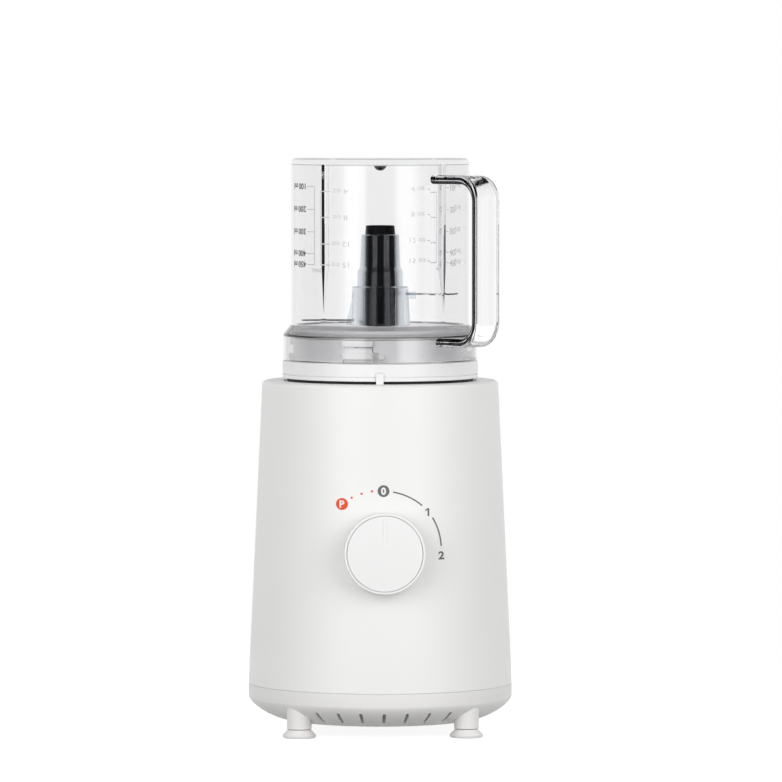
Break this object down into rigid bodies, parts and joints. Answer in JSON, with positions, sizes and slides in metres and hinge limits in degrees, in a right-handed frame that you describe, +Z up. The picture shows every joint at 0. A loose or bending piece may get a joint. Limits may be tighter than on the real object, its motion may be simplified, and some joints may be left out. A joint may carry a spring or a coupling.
{
  "type": "baby food maker",
  "caption": "Compact countertop blender for baby food: tapered motor base with a rotary knob on suction feet, lift-out blade unit and clear twist-on jar with a band handle.",
  "frame": {"origin": "centre of the footprint box on the table, under the feet", "axes": "+Z up along the motor axis, the knob facing -Y, the jar handle towards +X and -Y"},
  "size_m": [0.1532, 0.1642, 0.3325],
  "materials": {
    "white_body": "satin white moulded plastic",
    "foot_rubber": "soft off-white rubber",
    "black_rubber": "matte black rubber",
    "black_gloss": "glossy black moulded plastic",
    "frosted": "translucent natural plastic",
    "clear": "clear polished plastic",
    "silicone": "translucent silicone",
    "steel": "stainless steel",
    "lamination": "stacked steel laminations",
    "copper": "enamelled copper",
    "carbon": "matte carbon",
    "brass": "turned brass",
    "grey_plastic": "matte grey moulded plastic"
  },
  "bodies": {
    "base": {"housing": "white_body", "bottom_cover": "white_body", "foot_front_left": "foot_rubber", "foot_front_right": "foot_rubber", "foot_rear_left": "foot_rubber", "foot_rear_right": "foot_rubber", "cover_screw_1": "steel", "cover_screw_2": "steel", "cover_screw_3": "steel", "cover_screw_4": "steel", "socket_ring": "black_rubber", "stator_core": "lamination", "field_coil_left": "copper", "field_coil_right": "copper", "upper_bracket": "grey_plastic", "lower_bracket": "grey_plastic", "upper_bearing": "steel", "lower_bearing": "steel", "brush_holder_1": "brass", "brush_holder_2": "brass", "carbon_brush_1": "carbon", "carbon_brush_2": "carbon", "mount_bush_1": "black_rubber", "mount_bush_2": "black_rubber", "mount_bush_3": "black_rubber", "mount_bush_4": "black_rubber", "motor_screw_1": "steel", "motor_screw_2": "steel", "motor_screw_3": "steel", "motor_screw_4": "steel", "tie_bolt_1": "steel", "tie_bolt_2": "steel", "rotary_switch": "grey_plastic", "switch_nut": "steel", "cord_gland": "grey_plastic", "interlock_switch": "grey_plastic"},
    "rotor": {"motor_shaft": "steel", "armature_core": "lamination", "commutator": "copper", "cooling_fan": "grey_plastic", "drive_coupler": "black_gloss"},
    "knob": {"knob": "white_body", "switch_spindle": "brass"},
    "plunger": {"interlock_plunger": "black_gloss"},
    "unit": {"blade_holder": "white_body", "jar_gasket": "silicone", "shaft_bush": "brass", "shaft_seal": "black_rubber"},
    "blades": {"blade_shaft": "steel", "driven_coupler": "black_gloss", "spindle_core": "black_gloss", "blade_carrier": "frosted", "upper_blade": "steel", "lower_blade": "steel"},
    "jar": {"jar": "clear", "jar_handle": "clear"}
  },
  "joints": [
    {"name": "motor_spin", "type": "hinge", "parent": "base", "child": "rotor", "pos_m": [0, 0.00547, 0], "axis": [0, 0, 1], "continuous": true},
    {"name": "knob_turn", "type": "hinge", "parent": "base", "child": "knob", "pos_m": [0, -0.06743, 0.1078], "axis": [0, 0.9989, -0.0462], "range_deg": [-40, 90]},
    {"name": "unit_lift", "type": "slide", "parent": "base", "child": "unit", "axis": [0, 0, 1], "range_m": [0, 0.06]},
    {"name": "plunger_rise", "type": "slide", "parent": "base", "child": "plunger", "axis": [0, 0, 1], "range_m": [0, 0.002]},
    {"name": "blade_spin", "type": "hinge", "parent": "unit", "child": "blades", "pos_m": [0, 0.00547, 0], "axis": [0, 0, 1], "continuous": true},
    {"name": "jar_twist", "type": "hinge", "parent": "unit", "child": "jar", "pos_m": [0, 0.00547, 0], "axis": [0, 0, 1], "range_deg": [0, 30]}
  ],
  "couplings": [
    {"joint": "blade_spin", "follows": "motor_spin", "ratio": 1},
    {"joint": "plunger_rise", "follows": "unit_lift", "ratio": 0.033333}
  ]
}
